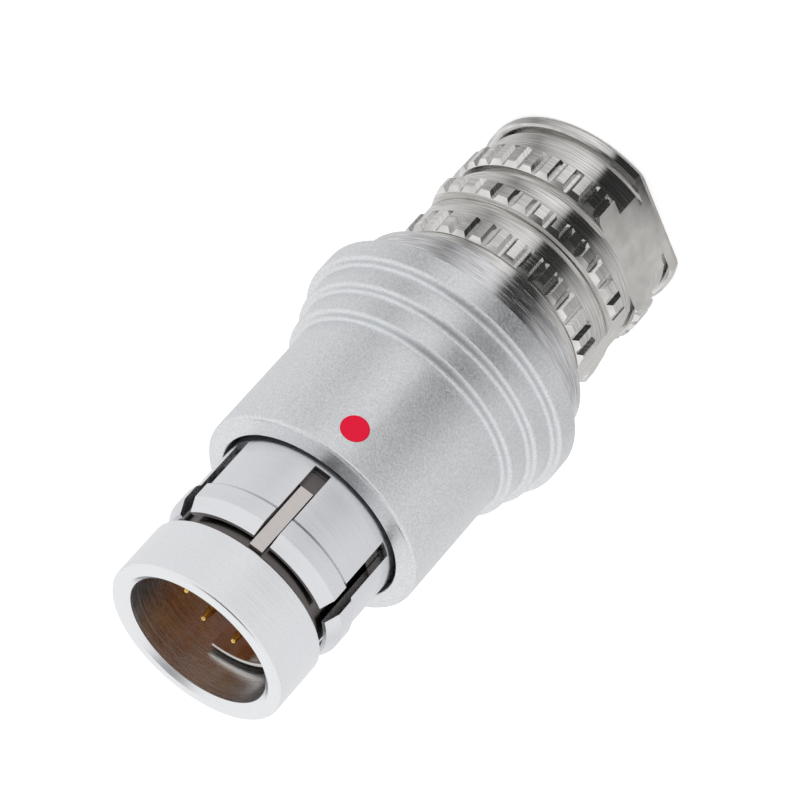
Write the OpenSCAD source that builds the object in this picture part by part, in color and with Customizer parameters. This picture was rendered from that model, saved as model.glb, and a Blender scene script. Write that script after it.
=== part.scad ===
// Plug of a push-pull circular connector, standing on the flat end of its clamp nut.
// Millimetres. +Z runs along the axis towards the nose, the origin is the centre of the
// rear face, and the key and the alignment dot are on the -Y side.

/* [Lengths along the axis] */
// Outside length of the rear clamp nut
nut_length = 5.85; // [5.5:0.05:7]
// Bright shoulder of the clamp nut, which meets the backshell
shoulder_length = 0.5; // [0.4:0.05:0.8]
// Length of the backshell from its rear end to the front of its front knurled ring
grip_length = 7.45; // [7.2:0.05:9]
// Free gap behind the release sleeve
release_gap = 1.65; // [1.6:0.05:2.6]
// Travel of the release sleeve, which unlocks the latch
release_travel = 1.5; // [1.3:0.05:1.5]
// Release sleeve, front rim to rear edge
sleeve_length = 20.6; // [20:0.05:23]
// Latch fingers, from the sleeve's front rim to their tips
finger_reach = 7.65; // [7.2:0.05:9]
// Bare neck between finger tips and nose
neck_length = 1.15; // [1.1:0.05:1.6]
// Nose tube
nose_length = 4.95; // [4.5:0.05:6]

/* [Nose and plug body] */
// Outside of the nose, which enters the receptacle
nose_d = 15; // [14.5:0.05:16]
// Wall of the nose
nose_wall = 1.5; // [1.3:0.05:1.8]
// Depth of the nose bore, down to the insulator's front face
nose_bore_depth = 7.5; // [7:0.1:8]
// Lead-in of the bore, radial
mouth_lead = 0.47; // [0.3:0.01:0.6]
// Edge radius of the nose rim
rim_edge = 0.3; // [0.2:0.01:0.45]
// Wall of the core tube where it surrounds the nose bore
neck_wall = 0.5; // [0.45:0.05:0.7]
// Groove behind the nose, depth below the core tube
groove_depth = 0.15; // [0.1:0.01:0.2]
// Groove behind the nose, width
groove_w = 0.42; // [0.3:0.01:0.6]
// Ledge between the nose bore and the smaller bore behind it
bore_ledge = 0.5; // [0.4:0.05:0.6]
// Stop ring on the core tube, height
stop_ring_h = 0.3; // [0.2:0.05:0.4]
// Stop ring, width
stop_ring_w = 1.4; // [1.2:0.05:1.6]
// Key rib, width
key_w = 1.1; // [1:0.05:1.2]
// Key rib, how far its flat top lies under the fingers' outside
key_sink = 0.29; // [0.2:0.01:0.35]
// Key rib, length
key_l = 6.15; // [5.8:0.05:6.4]
// Gap between key rib and stop ring
key_gap = 0.2; // [0.15:0.05:0.4]
// Reach of the core tube into the backshell
core_reach = 5.9; // [5.5:0.1:7]

/* [Latch sleeve] */
// Wall of the fingers
finger_wall = 0.6; // [0.5:0.02:0.7]
// Locking lugs, height over the fingers
lug_h = 0.23; // [0.18:0.01:0.3]
// Finger tip, depth of its bevel under the fingers' outside
tip_drop = 0.3; // [0.25:0.01:0.4]
// Length of the lug's front bevel
lug_bevel_l = 1.1; // [0.9:0.05:1.3]
// Length of the lug's flat land
lug_land_l = 1.4; // [1.2:0.05:1.6]
// Length of the locking shoulder behind the land
lug_back_l = 0.32; // [0.2:0.01:0.4]
// Number of fingers
fingers = 6; // [6:6:6]
// Play of the key rib in its slot, each side
key_play = 0.16; // [0.1:0.01:0.25]
// Flange that is held inside the release sleeve, distance of its front behind the rim
flange_back = 4; // [3.8:0.05:4.4]
// Flange thickness
flange_t = 2; // [1.8:0.1:2.4]

/* [Release sleeve] */
// Gap between the fingers and the hole in the front rim
lip_gap = 0.32; // [0.28:0.01:0.4]
// Ledge between that hole and the main bore
lip_ledge = 0.53; // [0.45:0.01:0.6]
// Wall of the plain front part
sleeve_wall = 1; // [0.9:0.05:1.2]
// Front grip ridge, height over the plain part
ridge_1_h = 0.8; // [0.7:0.01:1]
// Middle grip ridge, height over the front one
ridge_2_h = 0.72; // [0.65:0.01:0.9]
// Rear grip ridge, height over the middle one
ridge_3_h = 0.78; // [0.7:0.01:0.9]
// Front grip ridge, length
ridge_1_l = 2.2; // [2:0.05:2.4]
// Middle grip ridge, length
ridge_2_l = 2.1; // [1.9:0.05:2.3]
// Rear grip ridge, length
ridge_3_l = 2; // [1.8:0.05:2.3]
// Length of the bright turned tail
tail_l = 3; // [2.7:0.05:3.3]
// Depth of the tail under the rear grip ridge
tail_drop = 1.5; // [1.3:0.05:1.6]
// Rounding of each ridge's front edge and of the corner at its foot
ridge_round = 0.28; // [0.2:0.01:0.32]
// Bevel of the front rim
rim_bevel = 0.3; // [0.2:0.02:0.4]
// Depth of the rear bore, which slides over the backshell
tail_bore_l = 4.4; // [4.2:0.1:4.8]
// Alignment dot, diameter
dot_d = 2.2; // [2:0.05:2.4]
// Alignment dot, distance behind the front rim
dot_back = 2.95; // [2.6:0.05:3.4]
// Alignment dot, depth of its pocket
dot_depth = 0.22; // [0.15:0.01:0.3]

/* [Backshell] */
// Wall round the core tube
shell_wall = 2.12; // [2:0.02:2.2]
// Front knurled ring, height over the barrel
ring_1_h = 0.38; // [0.34:0.01:0.5]
// Front knurled ring, width
ring_1_w = 2.1; // [1.9:0.05:2.3]
// Rear knurled ring, height over the barrel
ring_2_h = 0.98; // [0.8:0.01:1.1]
// Rear knurled ring, width without its rear bevel
ring_2_w = 1.4; // [1.3:0.05:1.6]
// Rear bevel of that ring, radial and along the axis
ring_2_bevel = 0.75; // [0.6:0.05:0.8]
// Turn of the rear ring's grooves against the front ring's
ring_2_turn = 1.7; // [0:0.1:9]
// Round collar behind the rear ring, depth under the barrel
collar_depth = 0.17; // [0.1:0.01:0.3]
// Round collar, width
collar_w = 1.4; // [1.3:0.05:1.6]
// Depth of the fine turned grooves that mark off barrel and collar
line_depth = 0.1; // [0.06:0.01:0.14]
// Spanner flats, depth under the barrel
shell_flat_depth = 0.42; // [0.3:0.01:0.5]

/* [Clamp nut] */
// Neck that screws into the backshell, how much it is wider than the core tube
nut_neck_step = 0.15; // [0.1:0.01:0.2]
// Reach of that neck past the shoulder
nut_neck_l = 4; // [3.8:0.05:4.4]
// Shoulder, height over the neck
shoulder_h = 1.3; // [1.2:0.05:1.5]
// Wall of that neck
nut_neck_wall = 1.1; // [1:0.05:1.2]
// Plain band, height over the neck
band_h = 1.59; // [1.5:0.01:1.8]
// Knurled ring, height over the plain band
ring_3_h = 0.72; // [0.6:0.01:0.9]
// Knurled ring, width
ring_3_w = 2.2; // [2:0.05:2.4]
// Turn of its grooves against those of the backshell's front ring
ring_3_turn = 6.3; // [0:0.1:9]
// End ring, height over the plain band
end_h = 0.52; // [0.4:0.02:0.6]
// End ring, width
end_w = 1.08; // [1:0.02:1.2]
// Groove in front of the end ring, width
end_groove_w = 0.38; // [0.3:0.02:0.5]
// Groove in front of the end ring, depth under the plain band
end_groove_depth = 0.35; // [0.25:0.05:0.45]
// Spanner flats, depth under the plain band
nut_flat_depth = 0.71; // [0.5:0.01:0.8]
// Angle of the flats' normal from the key
nut_flat_angle = 51.5; // [45:0.5:60]
// Cable hole
cable_d = 7.2; // [6.8:0.1:7.6]
// Countersink of the cable hole
cable_lead = 0.5; // [0.3:0.05:0.8]

/* [Knurling] */
// Grooves round each knurled ring
knurls = 38; // [30:1:44]
// Depth of a groove
knurl_depth = 0.32; // [0.25:0.01:0.33]
// Bevel at the front end of the teeth
knurl_bevel = 0.35; // [0.34:0.01:0.4]
// Width of the flat bottom of a groove
knurl_floor = 0.24; // [0.15:0.01:0.3]
// Half of the groove's included angle
knurl_half_angle = 42; // [35:1:45]

/* [Contacts] */
// Number of contacts on one circle
contacts = 8; // [8:1:8]
// Distance of that circle inside the guide half shell
contact_inset = 1.49; // [1.4:0.01:1.6]
// Pin diameter
pin_d = 0.7; // [0.6:0.05:0.8]
// Contact barrel, how much it is wider than the pin
barrel_step = 0.25; // [0.2:0.01:0.3]
// Depth of the pin tips below the nose rim
pin_depth = 3.55; // [3.4:0.05:3.8]
// Solder cups, length behind the insulator
cup_l = 3.5; // [3:0.1:4]
// Solder cups, bore depth
cup_bore_l = 2.2; // [2:0.1:2.6]
// Solder cups, wall
cup_wall = 0.2; // [0.15:0.01:0.25]
// Depth of the guide half shell below the nose rim
guide_depth = 3.45; // [3.3:0.05:3.7]
// Wall of the guide half shell
guide_wall = 0.4; // [0.35:0.01:0.45]
// Front insulator, length
insulator_front_l = 6.3; // [5.5:0.1:7]
// Rear insulator, length
insulator_back_l = 5; // [4.5:0.1:6]
// Insert lock ring, length
insert_lock_l = 1.5; // [1.2:0.1:2]
// Insert lock ring, wall
insert_lock_wall = 0.88; // [0.7:0.02:1]

/* [Spring and seals] */
// Spring wire
wire_d = 0.7; // [0.6:0.05:0.8]
// Turns of the spring, the two closed end turns included
spring_turns = 6; // [5:0.5:6.5]
// Spring seat ring, length
seat_l = 2.95; // [2.5:0.05:3.5]
// Latch lock ring, length
lock_l = 1.1; // [0.9:0.05:1.4]
// Latch lock ring, wall
lock_wall = 0.38; // [0.3:0.01:0.45]
// Section of both O-rings
seal_d = 1.06; // [1:0.02:1.1]
// Slots for the assembly keys in the inner rings, width
slot_key_w = 1.2; // [1:0.1:1.4]
// Slots for the assembly keys, depth
slot_key_depth = 0.5; // [0.4:0.05:0.7]

/* [Clamp parts in the nut] */
// Depth of the cone that closes the collet
cone_l = 3.5; // [3:0.1:4]
// Collet, length
collet_l = 6.5; // [6:0.1:7]
// Collet, how much its bore is smaller than the cable hole, on radius
collet_grip = 0.3; // [0.2:0.05:0.5]
// Collet, width of its slits
collet_slit = 0.7; // [0.5:0.05:0.9]
// Gland washer, thickness
washer_t = 0.6; // [0.5:0.05:0.8]
// Rubber gland, length
gland_l = 2.2; // [2:0.1:2.6]
// Earthing ring, length
earth_l = 1.3; // [1.1:0.05:1.5]

/* [Hidden] */
$fn = 96;
// running, sliding, slip and end clearances, cut-through allowance, half width of cutters
run = 0.05;
slide = 0.08;
slip = 0.02;
end_play = 0.1;
cut = 1;
reach = nose_d;
// radii outwards from the nose bore
r_nose = nose_d / 2;
r_bore = r_nose - nose_wall;
r_core = r_bore + neck_wall;
r_core_bore = r_bore - bore_ledge;
r_stop = r_core + stop_ring_h;
r_finger_bore = r_stop + run;
r_finger = r_finger_bore + finger_wall;
r_lug = r_finger + lug_h;
r_lip = r_finger + lip_gap;
r_sleeve_bore = r_lip + lip_ledge;
r_sleeve = r_sleeve_bore + sleeve_wall;
r_ridge_1 = r_sleeve + ridge_1_h;
r_ridge_2 = r_ridge_1 + ridge_2_h;
r_ridge_3 = r_ridge_2 + ridge_3_h;
r_tail = r_ridge_3 - tail_drop;
// backshell
r_shell_bore = r_core + run;
r_shell = r_shell_bore + shell_wall;
r_tail_bore = r_shell + slide;
r_ring_1 = r_shell + ring_1_h;
r_ring_2 = r_shell + ring_2_h;
r_collar = r_shell - collar_depth;
// clamp nut and what it clamps
r_nut_neck = r_core + nut_neck_step;
r_shell_thread = r_nut_neck + run;
r_shoulder = r_nut_neck + shoulder_h;
r_nut_bore = r_nut_neck - nut_neck_wall;
r_seal_seat = r_nut_neck + seal_d + slip;
r_collet = r_nut_bore - run;
r_band = r_nut_neck + band_h;
r_ring_3 = r_band + ring_3_h;
r_end = r_band + end_h;
r_cable = cable_d / 2;
// insert
r_guide = r_core_bore - run;
r_contacts = r_guide - guide_wall - contact_inset;
r_barrel = pin_d / 2 + barrel_step;
// levels, rear face = 0
z_nut = nut_length;
z_shoulder = z_nut + shoulder_length;
z_shell = z_shoulder + run;
z_grip = z_shell + grip_length;
z_sleeve = z_grip + release_gap;
z_rim = z_sleeve + sleeve_length;
z_tip = z_rim + finger_reach;
z_nose = z_tip + neck_length;
z_top = z_nose + nose_length;
z_neck = z_nose - groove_w;
z_bore = z_top - nose_bore_depth;
// plug body
z_key = z_neck - key_l;
z_stop_top = z_key - key_gap;
z_stop = z_stop_top - stop_ring_w;
// latch sleeve: inner lip, slot floor, flange
z_lip = z_stop - end_play;
z_slot = z_lip - 2 * end_play;
z_flange = z_rim - flange_back;
z_flange_low = z_flange - flange_t;
z_lock = z_flange_low - lock_l;
// release sleeve ridges, counted from the front
z_ridge_3 = z_sleeve + tail_l + ridge_3_l;
z_ridge_2 = z_ridge_3 + ridge_2_l;
z_ridge_1 = z_ridge_2 + ridge_1_l;
z_tail_bore = z_sleeve + tail_bore_l;
// backshell front, which the sleeve's bore clears by slide when it is drawn back, seal
// and spring seat
z_shell_front = z_tail_bore - (release_travel + slide);
z_seat = z_shell_front + seal_d;
z_seat_top = z_seat + seat_l;
r_spring = (r_core + r_sleeve_bore) / 2;
z_core = z_shell_front - core_reach;
z_ring_2 = z_shell + collar_w + ring_2_bevel;
z_ring_2_top = z_ring_2 + ring_2_w;
z_ring_1 = z_grip - ring_1_w;
z_seal_seat = z_shell + seal_d;
// clamp nut
z_neck_end = z_shoulder + nut_neck_l;
z_cone = end_w + end_groove_w;
z_cone_top = z_cone + cone_l;
z_ring_3 = z_nut - ring_3_w;
z_earth = z_core - earth_l;
z_gland = z_earth - gland_l;
z_washer = z_gland - washer_t;
z_collet = z_washer - collet_l;
// insert
z_insert = z_bore - insulator_front_l;
z_insert_low = z_insert - insulator_back_l;
z_insert_lock = z_insert_low - insert_lock_l;
z_pin = z_top - pin_depth;
z_guide = z_top - guide_depth;
z_cup = z_insert_low - cup_l;

// points of an arc about (x, y) in a half section, from angle a0 to a1
function arc(x, y, r, a0, a1, n = 5) =
    [for (i = [0:n]) let (a = a0 + (a1 - a0) * i / n) [x + r * cos(a), y + r * sin(a)]];

// turned piece from its half section
module turned(points) rotate_extrude() polygon(points);

// plain ring from radius r0 to r1
module ring(r0, r1, z0, z1) turned([[r0, z0], [r1, z0], [r1, z1], [r0, z1]]);

module rod(r, z0, z1) translate([0, 0, z0]) cylinder(r = r, h = z1 - z0);

// grooves of one knurled ring of radius r, cut from z0 to z1, the first at angle turn
module knurl_grooves(r, z0, z1, turn = 0) {
    over = knurl_depth / 2;
    half = knurl_floor / 2 + (knurl_depth + over) * tan(knurl_half_angle);
    for (i = [0:knurls - 1])
        rotate([0, 0, turn + i * 360 / knurls])
            translate([0, 0, z0])
                linear_extrude(height = z1 - z0)
                    polygon([[r - knurl_depth, -knurl_floor / 2], [r + over, -half],
                        [r + over, half], [r - knurl_depth, knurl_floor / 2]]);
}

// material outside two parallel flats at distance d, normals at angle a from -Y
module flat_cutters(d, a, z0, z1)
    rotate([0, 0, -90 - a]) for (s = [0, 180]) rotate([0, 0, s])
        translate([d, -reach, z0]) cube([reach, 2 * reach, z1 - z0]);

// slots for an assembly key across a ring's low end, n at equal turns
module key_slots(z, n = 2)
    for (i = [0:n - 1]) rotate([0, 0, i * 180 / n])
        translate([-slot_key_w / 2, -reach, z - cut])
            cube([slot_key_w, 2 * reach, cut + slot_key_depth]);

// turned body: nose, neck, stop ring and core tube in one, with the key rib
module plug_body() color("silver") {
    turned(concat(
        [[r_core_bore, z_core], [r_core, z_core], [r_core, z_stop], [r_stop, z_stop],
            [r_stop, z_stop_top], [r_core, z_stop_top], [r_core, z_neck],
            [r_core - groove_depth, z_neck], [r_core - groove_depth, z_nose],
            [r_nose - rim_edge / 2, z_nose], [r_nose, z_nose + rim_edge / 2]],
        arc(r_nose - rim_edge, z_top - rim_edge, rim_edge, 0, 90),
        [[r_bore + mouth_lead, z_top], [r_bore, z_top - 0.75 * mouth_lead],
            [r_bore, z_bore], [r_core_bore, z_bore]]));
    // key rib, seen in the slot that lines up with the dot
    difference() {
        translate([-key_w / 2, -(r_finger - key_sink), z_key])
            cube([key_w, r_finger - key_sink - r_core + neck_wall / 2, key_l]);
        rod(r_core - neck_wall / 2, z_key - cut, z_neck + cut);
    }
}

// half-moon guide shell round one half of the contacts
module guide_half_shell() color("gainsboro")
    rotate([0, 0, 90]) rotate_extrude(angle = 180)
        polygon([[r_guide - guide_wall, z_insert], [r_guide, z_insert],
            [r_guide, z_guide - guide_wall / 4], [r_guide - guide_wall / 4, z_guide],
            [r_guide - guide_wall, z_guide]]);

// holes for the contacts
module contact_holes(r, z0, z1)
    for (i = [0:contacts - 1]) rotate([0, 0, (i + 0.5) * 360 / contacts])
        translate([r_contacts, 0, z0]) cylinder(r = r, h = z1 - z0, $fn = 32);

// front insulator: full on one half, inside the guide shell on the other
module insulator_front() color("saddlebrown") difference() {
    rod(r_guide, z_insert, z_bore);
    difference() {
        rod(r_core, z_insert - cut, z_bore + cut);
        rod(r_guide - guide_wall - slip, z_insert - 2 * cut, z_bore + 2 * cut);
        translate([run, -reach, z_insert - 2 * cut])
            cube([reach, 2 * reach, insulator_front_l + 4 * cut]);
    }
    contact_holes(pin_d / 2 + slip, z_insert - cut, z_bore + cut);
}

// rear insulator, holding the contact barrels
module insulator_back() color("sienna") difference() {
    rod(r_guide, z_insert_low, z_insert);
    contact_holes(r_barrel + slip, z_insert_low - cut, z_insert + cut);
}

// slotted ring that locks the insulators in the body
module insert_lock_ring() color("gold") difference() {
    ring(r_core_bore - slip - insert_lock_wall, r_core_bore - slip, z_insert_lock, z_insert_low);
    key_slots(z_insert_lock, 1);
}

// one contact: pin with a tapered round tip, barrel and open solder cup
module contact(i) color("gold") rotate([0, 0, (i - 0.5) * 360 / contacts])
    translate([r_contacts, 0, 0]) {
        r = pin_d / 2;
        tip = 0.6 * r;
        difference() {
            rotate_extrude($fn = 32) polygon(concat(
                [[0, z_cup], [r_barrel, z_cup], [r_barrel, z_insert], [r, z_insert],
                    [r, z_pin - 3 * r]],
                arc(0, z_pin - tip, tip, 10, 90, 4)));
            translate([0, 0, z_cup - cut])
                cylinder(r = r_barrel - cup_wall, h = cut + cup_bore_l, $fn = 24);
            translate([0, -r_barrel - cut, z_cup - cut])
                cube([r_barrel + cut, 2 * (r_barrel + cut), cut + 0.6 * cup_bore_l]);
        }
    }
module contact_pin_1() contact(1);
module contact_pin_2() contact(2);
module contact_pin_3() contact(3);
module contact_pin_4() contact(4);
module contact_pin_5() contact(5);
module contact_pin_6() contact(6);
module contact_pin_7() contact(7);
module contact_pin_8() contact(8);

// latch sleeve: spring fingers with locking lugs, inner lip and flange
module latch_sleeve() color("lightsteelblue") {
    z_land = z_tip - lug_bevel_l;
    z_land_low = z_land - lug_land_l;
    slot_w = key_w + 2 * key_play;
    difference() {
        turned([[r_core + run, z_flange_low], [r_sleeve_bore - run, z_flange_low],
            [r_sleeve_bore - run, z_flange], [r_finger, z_flange],
            [r_finger, z_land_low - lug_back_l], [r_lug, z_land_low], [r_lug, z_land],
            [r_finger - tip_drop, z_tip], [r_finger_bore, z_tip], [r_finger_bore, z_lip],
            [r_core + run, z_lip]]);
        for (i = [0:fingers - 1]) rotate([0, 0, i * 360 / fingers])
            translate([-slot_w / 2, -reach, z_slot]) cube([slot_w, reach, z_tip - z_slot + cut]);
    }
}

// front edge of one grip ridge: corner at the foot, steep face, rounded edge.
// Points run from the front, radius r_low, back to radius r_high.
function ridge_front(r_low, r_high, z) = concat(
    arc(r_low + ridge_round, z + ridge_round, ridge_round, 180, 270, 4),
    arc(r_high - ridge_round, z - ridge_round, ridge_round, 90, 0, 4));

// sand-blasted release sleeve with three stepped grip ridges and a turned tail
module release_sleeve() color("lightgray") difference() {
    edge = 0.8 * rim_bevel;
    turned(concat(
        [[r_sleeve_bore, z_flange + run], [r_lip, z_flange + run],
            [r_lip, z_rim - edge / 4], [r_lip + edge / 4, z_rim],
            [r_sleeve - rim_bevel, z_rim - rim_bevel]],
        arc(r_sleeve - edge, z_rim - rim_bevel - edge, edge, 80, 0, 3),
        ridge_front(r_sleeve, r_ridge_1, z_ridge_1),
        ridge_front(r_ridge_1, r_ridge_2, z_ridge_2),
        ridge_front(r_ridge_2, r_ridge_3, z_ridge_3),
        [[r_ridge_3, z_sleeve + tail_l + edge / 4], [r_ridge_3 - edge / 4, z_sleeve + tail_l],
            [r_tail, z_sleeve + tail_l], [r_tail, z_sleeve + edge / 2],
            [r_tail - edge / 2, z_sleeve], [r_tail_bore, z_sleeve],
            [r_tail_bore, z_tail_bore], [r_sleeve_bore, z_tail_bore]]));
    dot_shape(dot_d / 2);
}

// round plug on the -Y side between the pocket's floor and beyond the sleeve
module dot_shape(r) difference() {
    translate([0, 0, z_rim - dot_back]) rotate([90, 0, 0]) cylinder(r = r, h = r_sleeve + cut);
    rod(r_sleeve - dot_depth, z_rim - dot_back - 2 * r, z_rim - dot_back + 2 * r);
}

// red enamel dot
module alignment_dot() color("crimson") intersection() {
    dot_shape(dot_d / 2 - slip);
    rod(r_sleeve + slip, z_rim - dot_back - dot_d, z_rim - dot_back + dot_d);
}

// threaded ring that holds the latch flange in the release sleeve
module latch_lock_ring() color("gray") difference() {
    ring(r_sleeve_bore - slip - lock_wall, r_sleeve_bore - slip, z_lock, z_flange_low);
    key_slots(z_lock);
}

// height of the spring wire's centre after t turns: one closed turn at each end
function spring_z(t) = let (
        low = z_seat_top + wire_d / 2 + slip,
        high = z_flange_low - wire_d / 2 - slip,
        closed = 1.02 * wire_d,
        pitch = (high - low - 2 * closed) / (spring_turns - 2))
    t < 1 ? low + closed * t
    : t > spring_turns - 1 ? high - closed * (spring_turns - t)
    : low + closed + pitch * (t - 1);

// release spring, a round wire swept along a helix
module release_spring() color("dimgray") {
    around = 8;
    per_turn = 30;
    steps = spring_turns * per_turn;
    points = [for (i = [0:steps]) let (t = i / per_turn) for (j = [0:around - 1])
        let (a = j * 360 / around, r = r_spring + wire_d / 2 * cos(a))
            [r * cos(360 * t), r * sin(360 * t), spring_z(t) + wire_d / 2 * sin(a)]];
    side = [for (i = [0:steps - 1]) for (j = [0:around - 1])
        let (k = (j + 1) % around) [i * around + j, i * around + k, (i + 1) * around + k,
            (i + 1) * around + j]];
    polyhedron(points = points, faces = concat(side,
        [[for (j = [around - 1:-1:0]) j], [for (j = [0:around - 1]) steps * around + j]]));
}

// ring screwed on the core tube, on which the spring stands
module spring_seat_ring() color("gray") difference() {
    ring(r_core + slip, r_sleeve_bore - slide, z_seat, z_seat_top);
    key_slots(z_seat);
}

// backshell: barrel with two knurled rings, round collar, two flats and, inside its
// rear end, the seat of the nut seal
module backshell() color("whitesmoke") difference() {
    edge = 0.3;
    turned([[r_shell_bore, z_shell_front], [r_shell - edge / 2, z_shell_front],
        [r_shell, z_shell_front - edge / 2], [r_shell, z_grip + line_depth],
        [r_shell - line_depth, z_grip], [r_ring_1 - knurl_bevel, z_grip],
        [r_ring_1, z_grip - knurl_bevel], [r_ring_1, z_ring_1 + edge / 4],
        [r_ring_1 - edge / 4, z_ring_1], [r_shell, z_ring_1],
        [r_shell, z_ring_2_top + line_depth], [r_shell - line_depth, z_ring_2_top],
        [r_ring_2 - knurl_bevel, z_ring_2_top], [r_ring_2, z_ring_2_top - knurl_bevel],
        [r_ring_2, z_ring_2], [r_ring_2 - ring_2_bevel, z_ring_2 - ring_2_bevel],
        [r_collar - line_depth, z_ring_2 - ring_2_bevel],
        [r_collar, z_ring_2 - ring_2_bevel - line_depth], [r_collar, z_shell + edge / 3],
        [r_collar - edge / 3, z_shell], [r_seal_seat, z_shell], [r_seal_seat, z_seal_seat],
        [r_shell_thread, z_seal_seat], [r_shell_thread, z_core - end_play],
        [r_shell_bore, z_core - end_play]]);
    knurl_grooves(r_ring_1, z_ring_1, z_grip);
    knurl_grooves(r_ring_2, z_ring_2 - knurl_depth, z_ring_2_top, ring_2_turn);
    flat_cutters(r_shell - shell_flat_depth, 90, z_shell - cut, z_grip);
}

// O-ring with its inside on radius r, centred on height z
module o_ring(r, d, z) rotate_extrude() translate([r + d / 2, z]) circle(d = d, $fn = 32);

// O-ring between spring seat and backshell
module backshell_seal() color("black")
    o_ring(r_core, seal_d - slip, (z_shell_front + z_seat) / 2);

// clamp nut: knurled ring, plain band, groove, end ring, two flats, shoulder, neck
module clamp_nut() color("whitesmoke") difference() {
    edge = 0.3;
    z_groove = end_w + end_groove_w;
    turned([[r_cable + cable_lead, 0], [r_end - edge, 0], [r_end - edge / 4, edge / 4],
        [r_end, edge], [r_end, end_w - edge / 2], [r_end - edge / 2, end_w],
        [r_band - end_groove_depth, end_w], [r_band - end_groove_depth, z_groove],
        [r_band, z_groove], [r_band, z_ring_3], [r_ring_3 - edge / 3, z_ring_3],
        [r_ring_3, z_ring_3 + edge / 3], [r_ring_3, z_nut - knurl_bevel],
        [r_ring_3 - knurl_bevel, z_nut], [r_shoulder, z_nut], [r_shoulder, z_shoulder],
        [r_nut_neck, z_shoulder], [r_nut_neck, z_neck_end - edge],
        [r_nut_neck - edge, z_neck_end], [r_nut_bore, z_neck_end], [r_nut_bore, z_cone_top],
        [r_cable + end_play, z_cone], [r_cable, z_cone], [r_cable, cable_lead]]);
    knurl_grooves(r_ring_3, z_ring_3, z_nut, ring_3_turn);
    flat_cutters(r_band - nut_flat_depth, nut_flat_angle, -cut, z_nut);
}

// O-ring in the backshell's rear end, closed in by the nut's shoulder
module nut_seal() color("black")
    o_ring(r_nut_neck + slip / 2, seal_d, (z_shoulder + z_seal_seat) / 2);

// collet that the nut's cone closes on the cable: its own cone runs parallel to the
// nut's, an end play away
module clamp_collet() color("silver") {
    slope = (r_nut_bore - r_cable - end_play) / cone_l;
    r_low = r_cable + end_play + slope * (z_collet - z_cone) - 2 * run;
    z_full = z_collet + (r_collet - r_low) / slope;
    difference() {
        turned([[r_cable - collet_grip, z_collet], [r_low, z_collet], [r_collet, z_full],
            [r_collet, z_washer], [r_cable - collet_grip, z_washer]]);
        for (a = [0:60:300]) rotate([0, 0, a])
            translate([-collet_slit / 2, -reach, z_collet - cut])
                cube([collet_slit, reach, cut + 0.8 * collet_l]);
    }
}

// washer between collet and gland
module gland_washer() color("silver") ring(r_cable, r_collet, z_washer, z_gland);

// rubber gland round the cable
module cable_gland() color("darkslategray")
    ring(r_cable - collet_grip, r_collet, z_gland, z_earth);

// ring that clamps the cable's screen against the core tube
module earthing_ring() color("gold")
    turned([[r_cable, z_earth], [r_core - 2 * end_play, z_earth],
        [r_core - end_play, z_earth + end_play], [r_core - end_play, z_core],
        [r_cable + cable_lead, z_core], [r_cable, z_core - cable_lead]]);

plug_body();
guide_half_shell();
insulator_front();
insulator_back();
insert_lock_ring();
contact_pin_1();
contact_pin_2();
contact_pin_3();
contact_pin_4();
contact_pin_5();
contact_pin_6();
contact_pin_7();
contact_pin_8();
latch_sleeve();
release_sleeve();
alignment_dot();
latch_lock_ring();
release_spring();
spring_seat_ring();
backshell();
backshell_seal();
clamp_nut();
nut_seal();
clamp_collet();
gland_washer();
cable_gland();
earthing_ring();
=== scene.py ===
import math
import bpy
import numpy as np
from mathutils import Matrix, Vector


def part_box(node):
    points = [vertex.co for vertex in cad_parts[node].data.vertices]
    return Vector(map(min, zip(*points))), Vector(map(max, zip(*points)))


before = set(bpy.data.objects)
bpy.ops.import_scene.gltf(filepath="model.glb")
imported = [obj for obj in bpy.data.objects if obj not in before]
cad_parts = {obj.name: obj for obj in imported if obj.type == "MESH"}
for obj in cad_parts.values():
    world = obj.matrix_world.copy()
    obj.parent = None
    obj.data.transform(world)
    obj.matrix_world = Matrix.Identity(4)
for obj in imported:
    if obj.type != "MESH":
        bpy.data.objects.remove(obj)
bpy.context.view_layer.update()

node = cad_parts


# --- Plug body -------------------------------------------------------------------
# Nose tube, neck and core tube, turned in one piece from brass bar and chrome
# plated bright. The tool leaves fine rings round the axis, and the mating
# receptacle adds a few light rubs along them.

def linear(colour):
    """Linear RGBA of an sRGB hex colour: each channel is divided by 12.92 where it is
    small, and otherwise ((c + 0.055) / 1.055) to the power 2.4."""
    c = np.array([int(colour[i:i + 2], 16) for i in (1, 3, 5)]) / 255
    return (*np.where(c <= 0.04045, c / 12.92, ((c + 0.055) / 1.055) ** 2.4), 1.0)


def add(tree, kind, settings={}, links={}):
    """Adds one node. A setting is a property of the node or the value of an input, and
    a link feeds an input from another node's output."""
    new = tree.nodes.new(kind)
    for key, value in settings.items():
        if isinstance(key, str) and hasattr(new, key):
            setattr(new, key, value)
        else:
            new.inputs[key].default_value = value
    for key, source in links.items():
        tree.links.new(source, new.inputs[key])
    return new


def finish(name, colour, roughness, metallic=1.0):
    """A material with one Principled shader: returns the material, its tree and the
    shader."""
    material = bpy.data.materials.new(name)
    material.use_nodes = True
    tree = material.node_tree
    shader = tree.nodes["Principled BSDF"]
    shader.inputs["Base Color"].default_value = linear(colour)
    shader.inputs["Metallic"].default_value = metallic
    shader.inputs["Roughness"].default_value = roughness
    return material, tree, shader


def wear(material, *names):
    """Gives the material to CAD nodes."""
    for name in names:
        node[name].data.materials.clear()
        node[name].data.materials.append(material)


def radius_of(tree, place):
    """Distance of a point from the Z axis."""
    flat = add(tree, "ShaderNodeVectorMath", {"operation": "MULTIPLY", 1: (1, 1, 0)}, {0: place})
    return add(tree, "ShaderNodeVectorMath", {"operation": "LENGTH"},
               {0: flat.outputs[0]}).outputs["Value"]


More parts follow.
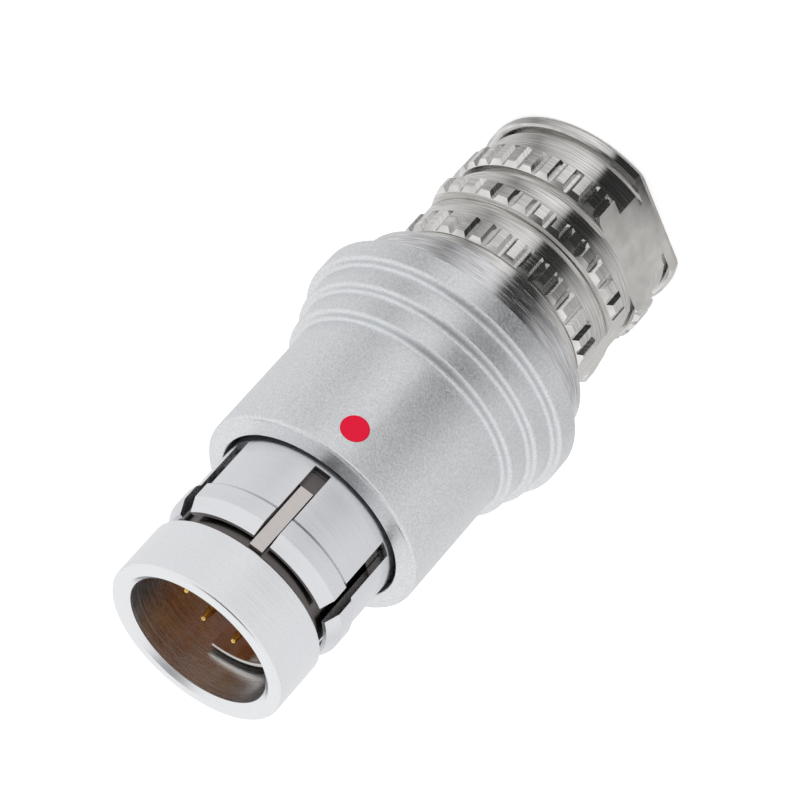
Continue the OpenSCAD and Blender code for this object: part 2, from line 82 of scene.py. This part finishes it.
def turning_rings(tree, spacing, reach):
    """Noise that is drawn out round the Z axis, as a lathe tool leaves it: it changes
    every `spacing` millimetres along radius plus height, and every `reach`
    millimetres round the piece."""
    place = add(tree, "ShaderNodeTexCoord").outputs["Object"]
    split = add(tree, "ShaderNodeSeparateXYZ", links={0: place})
    along = add(tree, "ShaderNodeMath", {"operation": "ADD"},
                {0: radius_of(tree, place), 1: split.outputs["Z"]})
    join = add(tree, "ShaderNodeCombineXYZ",
               links={"X": split.outputs["X"], "Y": split.outputs["Y"], "Z": along.outputs[0]})
    scale = add(tree, "ShaderNodeVectorMath",
                {"operation": "MULTIPLY", 1: (1000 / reach, 1000 / reach, 1000 / spacing)},
                {0: join.outputs[0]})
    return add(tree, "ShaderNodeTexNoise", {"Scale": 1.0, "Detail": 2.0, "Roughness": 0.6},
               {"Vector": scale.outputs[0]}).outputs["Fac"]


def between(tree, source, low, high):
    """Spreads a 0 to 1 pattern over the range low to high."""
    return add(tree, "ShaderNodeMapRange",
               {"From Min": 0.3, "From Max": 0.7, "To Min": low, "To Max": high},
               {"Value": source}).outputs["Result"]


def relief(tree, shader, height, depth):
    """Bumps the shader with a pattern of that depth in millimetres."""
    bump = add(tree, "ShaderNodeBump", {"Distance": depth / 1000, "Strength": 1.0},
               {"Height": height})
    tree.links.new(bump.outputs[0], shader.inputs["Normal"])


def mixed(tree, factor, first, second):
    """Colour that goes from the first to the second, each a hex colour or a socket."""
    new = add(tree, "ShaderNodeMix", {"data_type": "RGBA"}, {"Factor": factor})
    for index, colour in ((6, first), (7, second)):
        if isinstance(colour, str):
            new.inputs[index].default_value = linear(colour)
        else:
            tree.links.new(colour, new.inputs[index])
    return new.outputs[2]


def compare(tree, operation, source, level):
    """1 where the source is above (GREATER_THAN) or below (LESS_THAN) that level."""
    return add(tree, "ShaderNodeMath", {"operation": operation, 1: level},
               {0: source}).outputs[0]


def both(tree, first, second):
    """1 where both masks are 1."""
    return add(tree, "ShaderNodeMath", {"operation": "MULTIPLY"},
               {0: first, 1: second}).outputs[0]


chrome, tree, shader = finish("bright_chrome_turned", "#ECEDEF", 0.26)
rings = turning_rings(tree, spacing=0.12, reach=9.0)
tree.links.new(between(tree, rings, 0.2, 0.34), shader.inputs["Roughness"])
relief(tree, shader, rings, 0.0022)
# behind the nose, the top of the key rib, which stands out past the stop ring, is painted
# a warmer, darker grey as a painted reflection, and the outside of the neck, which lies
# between, is painted dark as painted shade
nose_length, bore_wall, stop_ring = 0.00495, 0.0062, 0.00685
place = add(tree, "ShaderNodeTexCoord").outputs["Object"]
height = add(tree, "ShaderNodeSeparateXYZ", links={0: place}).outputs["Z"]
radius = radius_of(tree, place)
behind = compare(tree, "LESS_THAN", height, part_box("plug_body")[1][2] - nose_length)
rib_painted_reflection = both(tree, behind, compare(tree, "GREATER_THAN", radius, stop_ring))
neck_painted_shade = both(tree, behind, both(tree, compare(tree, "GREATER_THAN", radius, bore_wall),
                               compare(tree, "LESS_THAN", radius, stop_ring)))
# painted reflection on the rib's top and painted shade on the neck, over the chrome colour
body = mixed(tree, rib_painted_reflection, "#ECEDEF", "#D2CBC8")
tree.links.new(mixed(tree, neck_painted_shade, body, "#6A6563"), shader.inputs["Base Color"])
wear(chrome, "plug_body")


# --- Guide half shell ---------------------------------------------------------------
# Half-moon guard round the contacts, turned from brass tube, slit and nickel
# plated. Its rim is faced bright. The plain rings and the washer inside match it.

nickel, tree, shader = finish("bright_nickel_turned", "#DEDAD4", 0.18)
rings = turning_rings(tree, spacing=0.1, reach=7.0)
tree.links.new(between(tree, rings, 0.12, 0.26), shader.inputs["Roughness"])
relief(tree, shader, rings, 0.0012)
wear(nickel, "guide_half_shell", "latch_lock_ring", "spring_seat_ring", "gland_washer")


# --- Insulators ---------------------------------------------------------------------
# Two discs moulded in brown high-temperature plastic, slightly glossy, with the
# marbled flow that the filled melt leaves.

brown, tree, shader = finish("moulded_brown_plastic", "#7A3A12", 0.3, metallic=0.0)
place = add(tree, "ShaderNodeTexCoord").outputs["Object"]
flow = add(tree, "ShaderNodeTexNoise", {"Scale": 1000 / 1.6, "Detail": 4.0, "Distortion": 0.6},
           {"Vector": place}).outputs["Fac"]
shade = add(tree, "ShaderNodeValToRGB", links={"Fac": flow})
shade.color_ramp.elements[0].color = linear("#4E2006")
shade.color_ramp.elements[1].color = linear("#A85A1C")
tree.links.new(shade.outputs["Color"], shader.inputs["Base Color"])
relief(tree, shader, flow, 0.004)
wear(brown, "insulator_front", "insulator_back")


# --- Contacts -----------------------------------------------------------------------
# Eight pins machined from copper alloy and gold plated, polished by the mating
# sockets.

gold, tree, shader = finish("gold_plate", "#FFD37A", 0.2)
rings = turning_rings(tree, spacing=0.06, reach=2.0)
tree.links.new(between(tree, rings, 0.14, 0.26), shader.inputs["Roughness"])
relief(tree, shader, rings, 0.0006)
wear(gold, *[f"contact_pin_{i}" for i in range(1, 9)])


# --- Brass parts inside ----------------------------------------------------------------
# Insert lock ring, collet and earthing ring are turned brass left bare.

brass, tree, shader = finish("turned_brass", "#D8B468", 0.3)
rings = turning_rings(tree, spacing=0.1, reach=6.0)
tree.links.new(between(tree, rings, 0.24, 0.42), shader.inputs["Roughness"])
relief(tree, shader, rings, 0.0015)
wear(brass, "insert_lock_ring", "clamp_collet", "earthing_ring")


# --- Latch sleeve -------------------------------------------------------------------
# Six spring fingers slit from one hardened sleeve, chrome plated to a smooth satin
# that blurs what it mirrors.

satin, tree, shader = finish("satin_chrome", "#E2E3E6", 0.24)
rings = turning_rings(tree, spacing=0.25, reach=5.0)
tree.links.new(between(tree, rings, 0.18, 0.3), shader.inputs["Roughness"])
relief(tree, shader, rings, 0.0012)
wear(satin, "latch_sleeve")


# --- Release sleeve -------------------------------------------------------------------
# The grip is blasted with fine grit before plating, which leaves a matt grain of
# about a seventh of a millimetre. Its tail is turned afterwards and stays bright,
# with coarse rings that break up the light.

blasted, tree, shader = finish("blasted_chrome", "#E2E4E6", 0.45)
tail_length = 0.003
tail_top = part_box("release_sleeve")[0][2] + tail_length
place = add(tree, "ShaderNodeTexCoord").outputs["Object"]
grit = add(tree, "ShaderNodeTexNoise", {"Scale": 1000 / 0.17, "Detail": 3.0, "Roughness": 0.6},
           {"Vector": place}).outputs["Fac"]
rings = turning_rings(tree, spacing=0.11, reach=2.5)
height = add(tree, "ShaderNodeSeparateXYZ", links={0: place}).outputs["Z"]
on_tail = compare(tree, "LESS_THAN", height, tail_top)
grain = add(tree, "ShaderNodeMix", {"data_type": "FLOAT"},
            {"Factor": on_tail, 2: grit, 3: rings}).outputs[0]
matt = between(tree, grit, 0.32, 0.46)
bright = between(tree, rings, 0.12, 0.32)
rough = add(tree, "ShaderNodeMix", {"data_type": "FLOAT"},
            {"Factor": on_tail, 2: matt, 3: bright}).outputs[0]
tree.links.new(rough, shader.inputs["Roughness"])
relief(tree, shader, grain, 0.016)
streaks = mixed(tree, between(tree, rings, 0.0, 1.0), "#B8B8BA", "#F0F0F2")
speckle = mixed(tree, between(tree, grit, 0.0, 1.0), "#D2D4D6", "#EEF0F2")
tree.links.new(mixed(tree, on_tail, speckle, streaks), shader.inputs["Base Color"])
wear(blasted, "release_sleeve")


# --- Alignment dot --------------------------------------------------------------------
# Red stove enamel run into a shallow pocket. It dries glossy, with a faint ripple.

enamel, tree, shader = finish("red_enamel", "#F00038", 0.34, metallic=0.0)
shader.inputs["Specular IOR Level"].default_value = 0.2
place = add(tree, "ShaderNodeTexCoord").outputs["Object"]
ripple = add(tree, "ShaderNodeTexNoise", {"Scale": 1000 / 0.6, "Detail": 2.0},
             {"Vector": place}).outputs["Fac"]
relief(tree, shader, ripple, 0.003)
wear(enamel, "alignment_dot")


# --- Release spring -------------------------------------------------------------------
# Drawn stainless wire with faint lines from the die, wound into a coil.

wire, tree, shader = finish("drawn_spring_steel", "#A9ABAD", 0.32)
rings = turning_rings(tree, spacing=0.08, reach=4.0)
tree.links.new(between(tree, rings, 0.26, 0.4), shader.inputs["Roughness"])
wear(wire, "release_spring")


# --- Backshell and clamp nut -----------------------------------------------------------
# Turned and straight-knurled brass, nickel plated bright. The spanner flats are
# milled afterwards, so they are a flat warm grey with faint cutter arcs.

def knurled_nickel(name, flat_distance, flat_angle, flat_top):
    """Bright nickel with milled flats: the flats are what lies `flat_distance`
    millimetres or more from the axis along the direction `flat_angle` degrees
    from -Y, up to `flat_top` millimetres over the rear end."""
    material, tree, shader = finish(name, "#E4E2E0", 0.16)
    a = math.radians(flat_angle)
    place = add(tree, "ShaderNodeTexCoord").outputs["Object"]
    across = add(tree, "ShaderNodeVectorMath",
                 {"operation": "DOT_PRODUCT", 1: (-math.sin(a), -math.cos(a), 0)}, {0: place})
    out = add(tree, "ShaderNodeMath", {"operation": "ABSOLUTE"}, {0: across.outputs["Value"]})
    height = add(tree, "ShaderNodeSeparateXYZ", links={0: place}).outputs["Z"]
    milled = both(tree, compare(tree, "GREATER_THAN", out.outputs[0],
                                (flat_distance - 0.01) / 1000),
                  compare(tree, "LESS_THAN", height, flat_top / 1000))
    rings = turning_rings(tree, spacing=0.07, reach=3.0)
    cloud = add(tree, "ShaderNodeTexNoise", {"Scale": 1000 / 1.2, "Detail": 5.0},
                {"Vector": place}).outputs["Fac"]
    rough = add(tree, "ShaderNodeMix", {"data_type": "FLOAT"},
                {"Factor": milled, 2: between(tree, rings, 0.08, 0.24),
                 3: between(tree, cloud, 0.36, 0.5)}).outputs[0]
    tree.links.new(rough, shader.inputs["Roughness"])
    streaks = mixed(tree, between(tree, rings, 0.0, 1.0), "#B6B4B2", "#F0EFED")
    cutter = mixed(tree, between(tree, cloud, 0.0, 1.0), "#CBC8C5", "#E2DFDC")
    tree.links.new(mixed(tree, milled, streaks, cutter), shader.inputs["Base Color"])
    grain = add(tree, "ShaderNodeMix", {"data_type": "FLOAT"},
                {"Factor": milled, 2: rings, 3: cloud}).outputs[0]
    relief(tree, shader, grain, 0.0035)
    return material


wear(knurled_nickel("knurled_nickel_backshell", flat_distance=8.25, flat_angle=90,
                    flat_top=13.85), "backshell")
wear(knurled_nickel("knurled_nickel_nut", flat_distance=7.53, flat_angle=51.5,
                    flat_top=5.85), "clamp_nut")


# --- Seals and gland --------------------------------------------------------------------
# O-rings and the cable gland are moulded black rubber with a dull bloom.

rubber, tree, shader = finish("black_rubber", "#1A1A1B", 0.6, metallic=0.0)
place = add(tree, "ShaderNodeTexCoord").outputs["Object"]
bloom = add(tree, "ShaderNodeTexNoise", {"Scale": 1000 / 0.5, "Detail": 3.0},
            {"Vector": place}).outputs["Fac"]
tree.links.new(between(tree, bloom, 0.5, 0.7), shader.inputs["Roughness"])
relief(tree, shader, bloom, 0.004)
wear(rubber, "backshell_seal", "nut_seal", "cable_gland")


# --- Camera ------------------------------------------------------------------------------
# A long lens looks down at the plug from its key side, turned about its own axis until
# the plug lies aslant with its nose low on the left.

azimuth, elevation, roll = math.radians(-10.4), math.radians(30.0), math.radians(138.32)
distance = 0.33236
aim = Vector((0.00053, -0.00066, 0.02398))
back = Vector((math.sin(azimuth) * math.cos(elevation),
               -math.cos(azimuth) * math.cos(elevation), math.sin(elevation)))
camera = bpy.data.objects.new("camera", bpy.data.cameras.new("camera"))
camera.data.lens = 202.5
camera.data.sensor_width = 36
camera.matrix_world = (Matrix.Translation(aim + back * distance)
                       @ (-back).to_track_quat("-Z", "Y").to_matrix().to_4x4()
                       @ Matrix.Rotation(-roll, 4, "Z"))
bpy.context.scene.collection.objects.link(camera)
bpy.context.scene.camera = camera


# --- Floor -------------------------------------------------------------------------------
# White paper, lifted for the camera only, so far that it shows as pure white up to the
# plug's foot.

def disc(name, radius, height, sides=96):
    """A round sheet, a fan of triangles about its centre."""
    turn = np.linspace(0, 2 * math.pi, sides, endpoint=False)
    rim = np.stack([radius * np.cos(turn), radius * np.sin(turn), 0 * turn + height], 1)
    mesh = bpy.data.meshes.new(name)
    mesh.from_pydata([(0, 0, height), *rim.tolist()], [],
                     [(0, i + 1, (i + 1) % sides + 1) for i in range(sides)])
    made = bpy.data.objects.new(name, mesh)
    bpy.context.scene.collection.objects.link(made)
    return made


floor = disc("floor", 1.5, 0.0)
paper, tree, shader = finish("white_floor", "#F2F2F2", 0.9, metallic=0.0)
shader.inputs["Specular IOR Level"].default_value = 0.0
seen = add(tree, "ShaderNodeLightPath").outputs["Is Camera Ray"]
lift = add(tree, "ShaderNodeMath", {"operation": "MULTIPLY", 1: 0.45}, {0: seen}).outputs[0]
tree.links.new(lift, shader.inputs["Emission Strength"])
shader.inputs["Emission Color"].default_value = (1, 1, 1, 1)
floor.data.materials.append(paper)

# --- Reflector sheet -----------------------------------------------------------------------
# Round the plug lies a sheet that only reflections show. It is dark toward the camera,
# which draws the black band down the bright turned rings, and even and light far out.

sheet = disc("reflector_sheet", 0.3, 0.0003)
tent, tree, shader = finish("light_tent_cloth", "#000000", 1.0, metallic=0.0)
shader.inputs["Specular IOR Level"].default_value = 0.0
place = add(tree, "ShaderNodeTexCoord").outputs["Object"]
turned = add(tree, "ShaderNodeVectorRotate",
             {"rotation_type": "Z_AXIS", "Angle": -azimuth}, {"Vector": place}).outputs[0]
split = add(tree, "ShaderNodeSeparateXYZ", links={0: turned})
left = add(tree, "ShaderNodeMath", {"operation": "MULTIPLY", 1: -1.0}, {0: split.outputs["X"]})
front = add(tree, "ShaderNodeMath", {"operation": "MULTIPLY", 1: -1.0}, {0: split.outputs["Y"]})
side = add(tree, "ShaderNodeMath", {"operation": "ARCTAN2"},
           {0: left.outputs[0], 1: front.outputs[0]})
part = add(tree, "ShaderNodeMapRange",
           {"From Min": -math.pi, "From Max": math.pi, "To Min": 0.0, "To Max": 1.0},
           {"Value": side.outputs[0]})
# brightness by degrees from the camera's side, clockwise from above
light = {-110: 0.8, -80: 0.7, -56: 0.36, -40: 0.7, -18: 1.0, -8: 0.7, -4: 0.03, 20: 0.05,
         30: 0.3, 42: 0.5, 60: 0.72, 95: 0.6, 130: 0.8}
ramp = add(tree, "ShaderNodeValToRGB", links={"Fac": part.outputs["Result"]})
points = ramp.color_ramp.elements
points[0].color = points[1].color = (0.72, 0.72, 0.73, 1)
for angle, value in light.items():
    points.new(0.5 + angle / 360).color = (value, value, value, 1)
radius = add(tree, "ShaderNodeVectorMath", {"operation": "LENGTH"}, {0: place})
inner, outer = 0.048, 0.082
away = add(tree, "ShaderNodeMapRange", {"From Min": inner, "From Max": outer},
           {"Value": radius.outputs["Value"]}).outputs["Result"]
glow = add(tree, "ShaderNodeMix", {"data_type": "RGBA", 7: (0.84, 0.84, 0.85, 1)},
           {"Factor": away, 6: ramp.outputs["Color"]}).outputs[2]
tree.links.new(glow, shader.inputs["Emission Color"])
shader.inputs["Emission Strength"].default_value = 1.0
sheet.data.materials.append(tent)
sheet.visible_camera = sheet.visible_diffuse = sheet.visible_shadow = False

# --- Surroundings --------------------------------------------------------------------------
# An even white tent. In reflections it has one dark opening above the camera, which
# blackens the bevels that face it.

world = bpy.data.worlds.new("studio")
world.use_nodes = True
bpy.context.scene.world = world
tree = world.node_tree
tree.nodes.clear()
way = add(tree, "ShaderNodeTexCoord").outputs["Generated"]
height, core, edge = math.radians(60), math.radians(14), math.radians(32)
opening = (math.sin(azimuth) * math.cos(height), -math.cos(azimuth) * math.cos(height),
           math.sin(height))
toward = add(tree, "ShaderNodeVectorMath", {"operation": "DOT_PRODUCT", 1: opening}, {0: way})
dark = add(tree, "ShaderNodeMapRange",
           {"From Min": math.cos(edge), "From Max": math.cos(core),
            "To Min": 0.95, "To Max": 0.06}, {"Value": toward.outputs["Value"]})
cloth = add(tree, "ShaderNodeCombineXYZ", links={axis: dark.outputs["Result"] for axis in "XYZ"})
path = add(tree, "ShaderNodeLightPath")
glossy = add(tree, "ShaderNodeMix", {"data_type": "RGBA", 6: (0.9, 0.9, 0.9, 1)},
             {"Factor": path.outputs["Is Glossy Ray"], 7: cloth.outputs[0]}).outputs[2]
colour = add(tree, "ShaderNodeMix", {"data_type": "RGBA", 7: (1, 1, 1, 1)},
             {"Factor": path.outputs["Is Camera Ray"], 6: glossy}).outputs[2]
lamp = add(tree, "ShaderNodeBackground", {"Strength": 1.0}, {"Color": colour})
add(tree, "ShaderNodeOutputWorld", links={"Surface": lamp.outputs[0]})

bpy.context.scene.view_settings.view_transform = "Standard"
